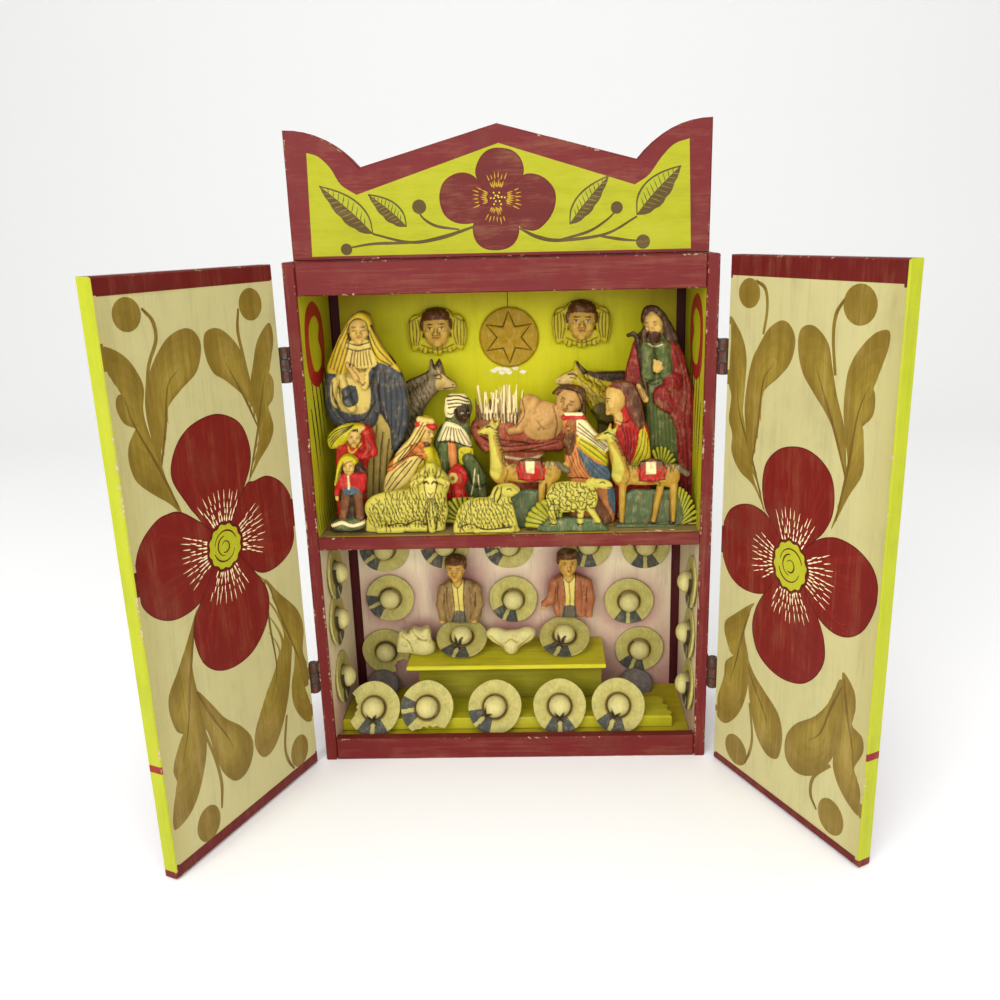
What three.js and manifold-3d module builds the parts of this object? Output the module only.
// Folding shrine box: a painted wooden case with a shaped crest and two hinged doors,
// two compartments, a nativity of moulded figures above and a hat shop below.
// Millimetres. Pieces are laid out from the middle of the case's lower front edge: x runs
// across the front, y into the case, z up, and the viewer stands on the -y side. The group
// then moves forward by half the case's depth, so the origin is the middle of the underside.

import * as THREE from 'three';
import { mergeVertices } from 'three/addons/utils/BufferGeometryUtils.js';
import Module from 'manifold-3d';

const wasm = await Module();
wasm.setup();

// ---------------------------------------------------------------- driving dimensions

const GAP = 0.3; // clearance between glued or nailed neighbours
const CASE = { width: 350, height: 450, board: 10, inside: 118, back: 6 };
const RAIL = { head: 27, foot: 24.6, thick: 10 };
const BOARD = { roof: 12, floor: 12 };
const SHELF = { low: 205.8, high: 217.2 };
const CREST = { width: 334, front: 6, thick: 12, valleyX: 108.5, peak: 100.7 };
const HORN = { left: 99.2, right: 101.4, valleyLeft: 70.5, valleyRight: 72.2, bend: 132 };
const DOOR = { width: 174.5, low: 1, high: 449, thick: 13, stand: 0.5 };
const HINGE = { offset: 4.5, knuckle: 4, pin: 1.3, bore: 1.7, leaf: 1, reach: 13, high: 368, low: 85 };
const KNUCKLES = [-14.5, -5, 5, 14.5]; // heights of the knuckle joints above the hinge's middle
const OPENING = { left: 113.6, right: 118 }; // degrees that each door stands open
const STEP = { front: 30, back: 70, top: 24, right: 150 };
const COUNTER = {
  left: -105, right: 88, front: 55, top: 66, thick: 4.5, bodyLeft: -96, bodyRight: 85, bodyFront: 70.3,
};
const HAT = { brim: 25.3, dish: 1.4, edge: 1.8, crown: 11.5, height: 13, sides: 12 };
const STAR = { radius: 28, thick: 4.4, tip: 22, notch: 11, points: 6, rise: 2.2 };

const HALF = CASE.width / 2;
const WALL = HALF - CASE.board; // half the clear width between the side boards
const SLICE = 600; // larger than the whole object

// ---------------------------------------------------------------- materials

const paint = (color) => new THREE.MeshStandardMaterial({ color, roughness: 0.62, metalness: 0 });
const RED = paint(0x8a2f33);
const LIME = paint(0xb9c11f);
const CREAM = paint(0xd9d2a4);
const OCHRE = paint(0xb7a91c);
const BLUE = paint(0x3c4a68);
const GREEN = paint(0x3f5a3d);
const SKIN = paint(0xb88d5c);
const GREY = paint(0x5c5a50);
const TAN = paint(0xa98a35);
const FLEECE = paint(0xc9c884);
const STRAW = paint(0xd3cfa0);
const BROWN = paint(0x6d4a34);
const IRON = new THREE.MeshStandardMaterial({ color: 0x4b413b, roughness: 0.6, metalness: 0.8 });

const shrine = new THREE.Group();
shrine.position.y = -(CASE.inside + CASE.back) / 2;

// ---------------------------------------------------------------- solids

/** Turns a closed geometry into a manifold solid, leaving out triangles that collapse at a pole. */
function solid(geometry) {
  const bare = geometry.clone();
  bare.deleteAttribute('normal');
  bare.deleteAttribute('uv');
  const merged = mergeVertices(bare, 1e-4);
  const index = merged.index.array;
  const kept = [];
  for (let i = 0; i < index.length; i += 3) {
    const [a, b, c] = [index[i], index[i + 1], index[i + 2]];
    if (a !== b && b !== c && c !== a) kept.push(a, b, c);
  }
  return new wasm.Manifold(new wasm.Mesh({
    numProp: 3,
    vertProperties: new Float32Array(merged.attributes.position.array),
    triVerts: new Uint32Array(kept),
  }));
}

/** Adds a finished solid to the shrine as a named mesh. */
function addPiece(name, body, material) {
  const { vertProperties, triVerts } = body.getMesh();
  const geometry = new THREE.BufferGeometry();
  geometry.setAttribute('position', new THREE.BufferAttribute(vertProperties, 3));
  geometry.setIndex(new THREE.BufferAttribute(triVerts, 1));
  geometry.computeVertexNormals();
  const mesh = new THREE.Mesh(geometry, material);
  mesh.name = name;
  shrine.add(mesh);
}

const join = (...bodies) => bodies.flat().reduce((whole, body) => whole.add(body));

/** A box between two corners. */
function block([x0, y0, z0], [x1, y1, z1]) {
  const geometry = new THREE.BoxGeometry(x1 - x0, y1 - y0, z1 - z0);
  return solid(geometry.translate((x0 + x1) / 2, (y0 + y1) / 2, (z0 + z1) / 2));
}

const polygon = (points) => new THREE.Shape(points.map(([x, z]) => new THREE.Vector2(x, z)));

/** A plate cut from an x-z outline, from y = front to y = back, with its edges eased by bevel. */
function plate(shape, front, back, bevel = 0) {
  const outline = Array.isArray(shape) ? polygon(shape) : shape;
  const geometry = new THREE.ExtrudeGeometry(outline, {
    depth: back - front - 2 * bevel,
    steps: 1,
    curveSegments: 8,
    bevelEnabled: bevel > 0,
    bevelThickness: bevel,
    bevelSize: bevel,
    bevelOffset: -bevel,
    bevelSegments: 1,
  });
  return solid(geometry.rotateX(Math.PI / 2).translate(0, back - bevel, 0));
}

/** An ellipsoid of few faces. */
function ball([x, y, z], [rx, ry, rz], lean = 0) {
  const geometry = new THREE.SphereGeometry(1, 7, 4).scale(rx, ry, rz);
  return solid(geometry.rotateY(THREE.MathUtils.degToRad(lean)).translate(x, y, z));
}

/** A round bar between two points, as thick as its two radii say. */
function bar(from, to, startRadius, endRadius = startRadius, sides = 5) {
  const start = new THREE.Vector3(...from);
  const run = new THREE.Vector3(...to).sub(start);
  const geometry = new THREE.CylinderGeometry(endRadius, startRadius, run.length(), sides);
  geometry.translate(0, run.length() / 2, 0);
  const turn = new THREE.Quaternion().setFromUnitVectors(new THREE.Vector3(0, 1, 0), run.normalize());
  return solid(geometry.applyQuaternion(turn).translate(...start));
}

/** A turned form: its profile of radius and height stands on base and points along axis. */
function turned(profile, base, axis, sides) {
  const points = profile.map(([radius, height]) => new THREE.Vector2(radius, height));
  const geometry = new THREE.LatheGeometry(points, sides);
  const turn = new THREE.Quaternion();
  turn.setFromUnitVectors(new THREE.Vector3(0, 1, 0), new THREE.Vector3(...axis).normalize());
  return solid(geometry.applyQuaternion(turn).translate(...base));
}

// ---------------------------------------------------------------- case

function buildCase() {
  const back = CASE.inside + CASE.back;
  const clear = WALL - GAP;
  const inner = RAIL.thick + GAP;
  const wallBack = CASE.inside - GAP;
  for (const [side, name] of [[-1, 'left'], [1, 'right']]) {
    const [x0, x1] = side < 0 ? [-HALF, -WALL] : [WALL, HALF];
    addPiece(`side_board_${name}`, block([x0, 0, 0], [x1, wallBack, CASE.height]), RED);
  }
  addPiece('header_rail', block([-clear, 0, CASE.height - RAIL.head], [clear, RAIL.thick, CASE.height]), RED);
  addPiece('foot_rail', block([-clear, 0, 0], [clear, RAIL.thick, RAIL.foot]), RED);
  addPiece('roof_board', block([-clear, inner, CASE.height - BOARD.roof], [clear, wallBack, CASE.height]), RED);
  addPiece('floor_board', block([-clear, inner, 0], [clear, wallBack, BOARD.floor]), OCHRE);
  addPiece('middle_shelf', block([-clear, 0, SHELF.low], [clear, wallBack, SHELF.high]), RED);
  addPiece('back_board', block([-HALF, CASE.inside, 0], [HALF, back, CASE.height]), LIME);
}

/** The crest: a low peak between two horns that fall in a round shoulder to a valley each. */
function buildCrest() {
  const half = CREST.width / 2;
  const outline = new THREE.Shape();
  outline.moveTo(-half, 0);
  outline.lineTo(half, 0);
  outline.lineTo(half, HORN.right);
  outline.quadraticCurveTo(HORN.bend, HORN.right, CREST.valleyX, HORN.valleyRight);
  outline.lineTo(0, CREST.peak);
  outline.lineTo(-CREST.valleyX, HORN.valleyLeft);
  outline.quadraticCurveTo(-HORN.bend, HORN.left, -half, HORN.left);
  const body = plate(outline, CREST.front, CREST.front + CREST.thick);
  addPiece('crest_board', body.translate([0, 0, CASE.height + GAP]), RED);
}

// ---------------------------------------------------------------- doors and hinges

/**
 * Everything on a door side is built with the door shut and its pin at the origin, the door
 * running along +x. A right-hand door is the mirror image.
 */
function doorBody() {
  const near = HINGE.offset;
  return block([near, -DOOR.stand - DOOR.thick, DOOR.low], [near + DOOR.width, -DOOR.stand, DOOR.high]);
}

const knuckle = (low, high, radius = HINGE.knuckle, sides = 8) =>
  bar([0, 0, low], [0, 0, high], radius, radius, sides);

/** The leaf on the case: two outer knuckles on one pin and a strap along the side board. */
function caseLeaf(middle) {
  const [bottom, lower, upper, top] = KNUCKLES.map((z) => z + middle);
  const near = HINGE.offset - GAP;
  const strap = block([near - HINGE.leaf, 0, bottom], [near, HINGE.reach, top]);
  const room = knuckle(lower - GAP, upper + GAP, HINGE.knuckle + 2 * GAP);
  return join(strap.subtract(room), knuckle(bottom, lower - GAP), knuckle(upper + GAP, top),
    knuckle(bottom, top, HINGE.pin, 6));
}

/** The leaf on the door: the middle knuckle, bored for the pin, and a strap on the door's edge. */
function doorLeaf(middle) {
  const [bottom, lower, upper, top] = KNUCKLES.map((z) => z + middle);
  const near = HINGE.offset - GAP;
  const strap = block([near - HINGE.leaf, -HINGE.reach, bottom], [near, -DOOR.stand, top]);
  const room = HINGE.knuckle + 2 * GAP;
  const cut = join(knuckle(bottom - 1, lower + GAP, room), knuckle(upper - GAP, top + 1, room));
  const bore = knuckle(lower - 1, upper + 1, HINGE.bore, 6);
  return join(strap, knuckle(lower, upper)).subtract(cut).subtract(bore);
}

function buildDoorSide(name, mirrored, angle) {
  const place = (body, turn) => {
    const opened = body.rotate([0, 0, -turn]).translate([-HALF - HINGE.offset, 0, 0]);
    return mirrored ? opened.mirror([1, 0, 0]) : opened;
  };
  addPiece(`door_${name}`, place(doorBody(), angle), CREAM);
  for (const [level, middle] of [['upper', HINGE.high], ['lower', HINGE.low]]) {
    addPiece(`hinge_${name}_${level}_case_leaf`, place(caseLeaf(middle), 0), IRON);
    addPiece(`hinge_${name}_${level}_door_leaf`, place(doorLeaf(middle), angle), IRON);
  }
}

// ---------------------------------------------------------------- moulded figures

/**
 * A moulded figure: its parts are joined, cut off flat at the back and at the front of its
 * layer, kept between the side boards and stood on the board below.
 */
function figure(name, [front, back], base, parts, material) {
  const clear = WALL - 2 * GAP;
  const room = block([-clear, front, base + GAP], [clear, back, base + SLICE]);
  const lifted = join(parts).translate([0, 0, base]);
  addPiece(name, lifted.intersect(room), material);
}

const UPPER = SHELF.high;
const nativity = (name, layer, parts, material) => figure(name, layer, UPPER, parts, material);

function buildHolyFamily() {
  nativity('mary', [48, 69], [
    plate([[-127, 188], [-118, 184], [-115, 170], [-108, 156], [-94, 133], [-89, 110], [-90, 86], [-105, 60],
      [-109, 40], [-108, -4], [-138, -4], [-132, 70], [-143, 81], [-157, 90], [-163, 108], [-160, 132],
      [-146, 166], [-137, 182]], 55, 73, 2),
    ball([-128, 56, 169], [9, 8, 12]),
    bar([-130, 54, 134], [-124, 60, 4], 5, 8),
    bar([-112, 54, 136], [-98, 55, 84], 8, 9),
    bar([-158, 54, 128], [-150, 55, 92], 7, 8),
    bar([-150, 53, 92], [-120, 53, 104], 7, 6),
    bar([-140, 50, 112], [-131, 50, 130], 4.5, 3),
    bar([-122, 50, 112], [-130, 50, 130], 4.5, 3),
  ], BLUE);
  nativity('joseph', [48, 69], [
    plate([[124, 187], [135, 184], [145, 166], [154, 149], [162, 124], [165, 102], [165, -4], [127, -4],
      [124, 96], [117, 116], [106, 124], [109, 144], [115, 160], [121, 168], [119, 178]], 55, 73, 2),
    ball([129, 56, 173], [8, 8, 11]),
    bar([136, 54, 150], [142, 56, 4], 8, 9),
    bar([150, 53, 150], [156, 55, 30], 6, 8),
    ball([145, 52, 122], [9, 6, 9]),
    bar([144, 52, 118], [134, 52, 104], 6, 4),
    ball([136, 50, 138], [5, 5, 6]),
    bar([112, 54, 163], [121, 54, 108], 1.8, 1.8),
    ball([121, 53.5, 114], [4, 3.5, 6]),
  ], GREEN);
  nativity('manger_with_child', [61, 77], [
    plate([[-34, 84], [-22, 89], [-5, 86], [13, 84], [46, 86], [51, 78], [50, 62], [47, 56], [30, 52],
      [28, -4], [-12, -4], [-10, 53], [-23, 57], [-31, 67]], 62, 80.5, 1.5),
    ball([27, 68, 88], [22, 9, 17]),
    bar([8, 65, 76], [20, 66, 106], 5, 5),
    bar([20, 66, 106], [27, 66, 92], 5, 6),
    ball([53, 68, 101], [16, 9, 14], 18),
    ...[-19, -12, -5, 2, 9].map((x, i) => bar([x, 71, 80], [x + 2 - i % 3, 71, 110 + 4 * (i % 3)], 3.8, 1.6)),
  ], SKIN);
}

function buildStableAnimals() {
  nativity('donkey', [79, 92], [
    plate([[-70, 142], [-68, 133], [-63, 142], [-59, 132], [-57, 125], [-48, 119], [-49, 114], [-60, 112],
      [-69, 112], [-75, 102], [-82, 84], [-87, 60], [-88, -4], [-124, -4], [-119, 92], [-107, 112],
      [-94, 121], [-80, 127], [-73, 131]], 81, 95.5, 1.5),
    ball([-65, 83, 122], [9, 4, 8]),
    bar([-70, 84, 116], [-96, 85, 84], 8, 13),
  ], GREY);
  nativity('ox', [79, 92], [
    plate([[45, 120], [51, 125], [59, 129], [61, 137], [65, 136], [70, 128], [96, 127], [114, 125], [119, 108],
      [120, -4], [82, -4], [82, 73], [79, 93], [73, 110], [63, 113], [50, 113]], 81, 95.5, 1.5),
    ball([60, 83, 120], [11, 4, 8]),
    bar([66, 84, 117], [98, 85, 92], 8, 16),
  ], GREY);
}

function buildKings() {
  nativity('king_left', [32, 45.5], [
    plate([[-73, 98], [-64, 93], [-65, 82], [-69, 75], [-63, 64], [-60, 51], [-63, 38], [-68, 27], [-69, -4],
      [-115, -4], [-113, 30], [-106, 52], [-96, 68], [-86, 79], [-80, 89]], 37, 49, 1.5),
    ball([-70, 38, 86], [6.5, 6, 9]),
    bar([-73, 39, 93], [-65, 37, 93], 4, 4),
    bar([-79, 38, 88], [-106, 40, 30], 5, 8),
    bar([-74, 37, 72], [-64, 36, 50], 5, 4),
    bar([-80, 37, 60], [-90, 39, 4], 7, 9),
  ], TAN);
  nativity('king_middle', [44, 57], [
    plate([[-44, 114], [-35, 111], [-31, 102], [-34, 90], [-33, 72], [-32, 58], [-22, 42], [-20, 17],
      [-21, -4], [-70, -4], [-68, 48], [-67, 71], [-61, 85], [-55, 92], [-55, 105], [-51, 112]], 48, 60.5, 1.5),
    ball([-44, 49, 104], [11, 6, 9], -12),
    ball([-39, 48, 96], [6, 5, 8]),
    turned([[0, 0], [14, 0], [7, 22], [0, 22]], [-49, 51, 68], [0, 0, 1], 8),
    bar([-50, 47, 72], [-46, 46, 46], 4.5, 4),
    bar([-38, 49, 46], [-28, 49, 4], 7, 8),
  ], GREEN);
  nativity('king_right', [25.5, 37.7], [
    plate([[58, 99], [67, 97], [72, 89], [81, 78], [88, 64], [89, 44], [92, 24], [92, -4], [56, -4],
      [56, 35], [50, 46], [51, 72], [49, 84], [49, 96]], 30, 41, 1.5),
    ball([56, 31, 88], [7, 5.5, 10]),
    bar([49, 31, 96], [66, 31, 96], 3.5, 3.5),
    ball([54, 30, 73], [5, 4, 9]),
    bar([66, 31, 88], [84, 32, 64], 5, 6),
    bar([74, 30, 66], [84, 31, 30], 7, 9),
    bar([62, 31, 50], [66, 31, 4], 8, 9),
  ], BLUE);
  nativity('kneeling_woman', [38, 47.7], [
    plate([[101, 124], [110, 122], [117, 109], [121, 90], [126, 70], [126, -4], [95, -4], [94, 49], [96, 81],
      [96, 90], [90, 101], [89, 117], [94, 123]], 41.5, 51, 1.5),
    ball([97, 42, 108], [7, 4, 11]),
    bar([109, 42, 116], [119, 43, 76], 7, 6),
    bar([101, 42, 84], [102, 42, 30], 7, 8),
    bar([119, 42, 80], [118, 43, 40], 5, 7),
  ], RED);
}

function buildShepherds() {
  nativity('shepherd_with_bundle', [25.5, 40], [
    plate([[-157, 78], [-152, 87], [-141, 92], [-126, 93], [-118, 87], [-116, 73], [-121, 64], [-125, 54],
      [-128, 29], [-129, -4], [-153, -4], [-152, 55], [-151, 69], [-156, 73]], 31, 43.5, 1.5),
    ball([-139, 32, 80], [6.5, 6, 8]),
    ball([-152, 32, 82], [9, 6, 8], 30),
    bar([-121, 31, 84], [-120, 31, 68], 5, 5),
    bar([-148, 31, 72], [-124, 31, 66], 5, 6),
    bar([-140, 31, 66], [-140, 32, 4], 9, 9),
  ], RED);
  nativity('herd_boy', [6.5, 21], [
    plate([[-137, 70], [-131, 66], [-122, 54], [-123, 45], [-126.5, 38], [-126.5, 12], [-127, -4], [-156, -4],
      [-155, 10], [-148, 12], [-147, 28], [-151, 30], [-150, 45], [-146, 60], [-143, 68]], 13, 24.5, 1.5),
    block([-156, 6.5, 0], [-127, 21, 7]),
    ball([-137, 13, 61], [5.5, 5.5, 7.5]),
    bar([-145, 13, 50], [-148, 12, 32], 3.2, 3),
    bar([-128, 13, 50], [-131, 11, 38], 3.2, 3),
    bar([-141, 13, 36], [-143, 13, 6], 4, 3.6),
    bar([-133, 13, 36], [-131, 13, 6], 4, 3.6),
    ball([-137, 13, 46], [7, 6, 9]),
  ], RED);
  nativity('child_in_red', [30.3, 41.5], [
    plate([[-46, 54], [-38, 49], [-36, 40], [-39, 33], [-35, 18], [-35, -4], [-55, -4], [-55, 26], [-56, 35],
      [-54, 46]], 34, 45, 1.5),
    turned([[0, 0], [11, 0], [10, 3], [0, 4]], [-47, 34.5, 42], [0, -1, 0], 10),
    bar([-46, 35, 30], [-45, 35, 2], 6, 8),
  ], RED);
}

function buildFlock() {
  nativity('ram', [8.5, 24], [
    plate([[-122, -4], [-124, 14], [-118, 27], [-104, 35], [-85, 38], [-84, 47], [-76, 54], [-65, 61],
      [-53, 49], [-51, 40], [-54, 30], [-53, 16], [-56, 6], [-63, -4]], 13, 27.5, 2),
    ball([-96, 15, 18], [24, 6, 16]),
    ball([-69, 13.5, 41], [9, 6, 13]),
    ball([-80, 14, 43], [5.5, 4, 6.5]),
    ball([-57, 14, 42], [5.5, 4, 6.5]),
    bar([-68, 14, 28], [-66, 14, 3], 8, 4),
    bar([-88, 13, 5], [-68, 12, 5], 4, 4.5),
  ], FLEECE);
  nativity('lying_sheep', [3, 13.7], [
    plate([[-46, -4], [-46, 12], [-41, 24], [-31, 30], [-17, 31], [-12, 39], [-5, 43], [4, 43], [11, 38],
      [9, 34], [3, 31], [5, 21], [8, 4], [8, -4]], 6, 17, 1.5),
    ball([-22, 7.5, 15], [20, 5, 13]),
    ball([0, 7, 36], [8, 4, 6], 20),
    bar([-8, 6.5, 40], [-10, 6, 28], 3, 2.5),
    bar([-30, 6, 3], [2, 6, 5], 3.6, 3.6),
  ], FLEECE);
  nativity('standing_sheep_on_mound', [3.5, 13.7], [
    plate([[31, -4], [22, 6], [15, 12], [16, 24], [27, 31], [35, 33], [36, 41], [44, 44], [61, 43], [71, 47],
      [82, 47], [91, 42], [89, 36], [79, 33], [76, 22], [82, 8], [82, -4]], 9, 17, 1.5),
    ball([55, 8.5, 32], [20, 4.5, 11]),
    ball([80, 8.5, 41], [9, 4, 5.5], 12),
    bar([40, 7, 28], [42, 7, 9], 4, 3),
    bar([66, 7, 26], [66, 7, 8], 3.6, 2.6),
    bar([72, 8, 24], [79, 8, 10], 3.6, 2.6),
    bar([34, 7, 3], [80, 7, 3], 3.5, 3.5),
  ], FLEECE);
}

/** A llama and the green plate behind its legs: neck, body and legs are moulded in one. */
function llamaParts([headX, headZ], [chestX, chestZ], [rumpX, rumpZ], legs, [front, back]) {
  const y = (front + back) / 2 - 1;
  return [
    bar([headX - 9, y, headZ - 3], [headX + 4, y, headZ], 3, 5),
    bar([headX + 5, y, headZ + 2], [headX + 8, y, headZ + 9], 2, 1),
    bar([headX + 4, y, headZ], [chestX, y, chestZ], 4.5, 8.5),
    ball([(chestX + rumpX) / 2 + 1, y, (chestZ + rumpZ) / 2], [(rumpX - chestX) / 2 + 9, 5.5, 13]),
    bar([rumpX + 6, y, rumpZ + 5], [rumpX + 14, y, rumpZ - 1], 3.5, 3),
    ...legs.map(([x, foot]) => bar([x, y, chestZ - 4], [x + foot, y, 2], 4, 2.2)),
  ];
}

function buildLlamas() {
  const middle = [14.5, 24.7];
  nativity('middle_llama', middle, [
    ...llamaParts([-13, 88], [-6, 46], [38, 46], [[27, -1], [38, 1]], middle),
    plate([[-4, -4], [-4, 34], [42, 34], [42, -4]], 19.5, 28, 1),
    block([9, 14.6, 44], [30, 20, 60]),
  ], TAN);
  const right = [14.5, 24.7];
  nativity('right_llama', right, [
    ...llamaParts([88, 85], [101, 44], [146, 44], [[102, -1], [133, -6], [146, 3]], right),
    plate([[95, -4], [98, 34], [148, 40], [160, 38], [165, 20], [165, -4]], 19.5, 28, 1),
    bar([96, 18, 3], [154, 18, 3], 4, 4),
    block([114, 14.6, 43], [136, 20, 59]),
  ], TAN);
}

/** A leafy tuft: leaves fan out from a foot. */
function buildTuft() {
  const leaves = 5;
  const foot = [-46, 28, 2];
  const fan = Array.from({ length: leaves }, (_, i) => {
    const turn = THREE.MathUtils.degToRad(150 - i * 30);
    return bar(foot, [foot[0] + 17 * Math.cos(turn), 28, 2 + 23 * Math.sin(turn)], 6, 4, 6);
  });
  nativity('leaf_tuft', [25, 30], fan, GREEN);
}

/** A winged child's head on a collar of feathers. */
function cherub(name, x, z, material) {
  const half = [[0, 21], [10, 18], [15, 10], [22, 11], [28, 2], [25, -22], [18, -18], [14, -24], [7, -21]];
  const mirrored = half.slice(1).reverse().map(([u, w]) => [-u, w]);
  const outline = [...half, [0, -25], ...mirrored].map(([u, w]) => [x + u, z + w]);
  figure(name, [102, CASE.inside - GAP], 0, [
    plate(outline, 111, CASE.inside + 3, 1.5),
    ball([x, 110, z], [15, 8, 19]),
    ball([x, 112, z + 9], [17, 8, 14]),
  ], material);
}

/** The star of Bethlehem: six points raised on a round disc. */
function buildStar() {
  const [x, z] = [1, 374];
  const back = CASE.inside - GAP;
  const disc = bar([x, back, z], [x, back - STAR.thick, z], STAR.radius, STAR.radius, 24);
  const outline = Array.from({ length: 2 * STAR.points }, (_, i) => {
    const reach = i % 2 ? STAR.notch : STAR.tip;
    const turn = Math.PI * (i / STAR.points + 0.5);
    return [x + reach * Math.cos(turn), z + reach * Math.sin(turn)];
  });
  const face = back - STAR.thick;
  addPiece('star_medallion', disc.add(plate(outline, face - STAR.rise, face + 1)), OCHRE);
}

// ---------------------------------------------------------------- hat shop

function buildShopFittings() {
  const clear = WALL - GAP;
  const onFloor = BOARD.floor + GAP;
  const back = CASE.inside - GAP;
  addPiece('yellow_step', block([-clear, STEP.front, onFloor], [STEP.right, STEP.back, STEP.top]), OCHRE);
  const box = block([COUNTER.bodyLeft, COUNTER.bodyFront, onFloor], [COUNTER.bodyRight, back, COUNTER.top]);
  const top = block([COUNTER.left, COUNTER.front, COUNTER.top - COUNTER.thick],
    [COUNTER.right, back, COUNTER.top]);
  addPiece('counter', box.add(top), LIME);
}

/** A half figure of a hat seller, as it shows over the counter. */
function seller(name, x, z, lean, material) {
  const y = 107;
  figure(name, [98, CASE.inside - GAP], 0, [
    ball([x, y, z], [11.5, 8.5, 13]),
    ball([x, y + 2, z + 5], [12.5, 9, 10]),
    bar([x + 3, y + 2, z - 57], [x + 2, y + 2, z - 8], 14, 9, 7),
    ball([x + 3, y + 1, z - 26], [20, 8.5, 12]),
    bar([x - 14, y, z - 24], [x - 17 - lean, y - 1, z - 44], 6, 5),
    bar([x + 20, y, z - 24], [x + 20, y - 1, z - 50], 6, 5),
  ], material);
}

/** The crown and dished brim of one hat, brim plane through the origin, crown towards +height. */
const HAT_PROFILE = [
  [0, -HAT.edge], [HAT.brim - 3, -HAT.edge], [HAT.brim, HAT.dish], [HAT.crown, 0.6],
  [HAT.crown - 0.5, HAT.height - 4], [HAT.crown - 5, HAT.height], [0, HAT.height + 0.6],
];

function hat(centre, lift, size = 1) {
  const rise = THREE.MathUtils.degToRad(lift);
  const profile = HAT_PROFILE.map(([radius, height]) => [radius * size, height * size]);
  return turned(profile, centre, [0, -Math.cos(rise), Math.sin(rise)], HAT.sides);
}

/** A piece broken from a brim, as a round bar through the hat. */
const bite = ([x, y, z], radius) => bar([x, y - 30, z], [x, y + 30, z], radius, radius, 8);

function buildHats() {
  const frontLean = 32;
  const frontCentre = [33, 34.2];
  const broken = {
    1: (x) => bite([x - 28, frontCentre[0], 40], 11),
    2: (x) => bite([x + 16, frontCentre[0], 12], 11),
  };
  [-134.5, -83.5, -19, 42.5, 98].forEach((x, i) => {
    const whole = hat([x, ...frontCentre], frontLean);
    const body = broken[i + 1] ? whole.subtract(broken[i + 1](x)) : whole;
    addPiece(`front_hat_${i + 1}`, body, STRAW);
  });

  const counterCentre = [90.5, 79];
  [-53.5, 49].forEach((x, i) => addPiece(`counter_hat_${i + 1}`, hat([x, ...counterCentre], 65), STRAW));

  const folded = [ball([-98, 84, 14.3], [18, 10, 13]), block([-116, 78, 1.5], [-100, 90, 26])];
  figure('counter_blank_left', [70, 96], COUNTER.top, folded, STRAW);
  const winged = [
    ball([-4, 80, 12], [11, 10, 12]),
    ball([-16, 84, 18], [14, 8, 8], 18),
    ball([8, 84, 18], [14, 8, 8], -18),
  ];
  figure('counter_blank_middle', [70, 96], COUNTER.top, winged, STRAW);

  const onWall = CASE.inside - GAP - HAT.edge;
  [[-127, 113], [-2, 110], [115, 106]].forEach(([x, z], i) => {
    addPiece(`wall_hat_upper_${i + 1}`, hat([x, onWall, z], 0, 0.97), STRAW);
  });
  const lowLeft = hat([-135, onWall, 54], 0, 0.97).subtract(bite([-117, onWall, 36], 9));
  addPiece('wall_hat_lower_1', lowLeft, STRAW);
  addPiece('wall_hat_lower_2', hat([126, onWall, 53], 0, 0.97), STRAW);
}

// ---------------------------------------------------------------- assembly

buildCase();
buildCrest();
buildDoorSide('left', false, OPENING.left);
buildDoorSide('right', true, OPENING.right);
buildHolyFamily();
buildStableAnimals();
buildKings();
buildShepherds();
buildFlock();
buildLlamas();
buildTuft();
cherub('cherub_left', -66, 384, SKIN);
cherub('cherub_right', 69, 388, SKIN);
buildStar();
buildShopFittings();
seller('hat_seller_left', -58, 148, 0, BROWN);
seller('hat_seller_right', 53, 152, 3, paint(0x8f5140));
buildHats();

export default shrine;
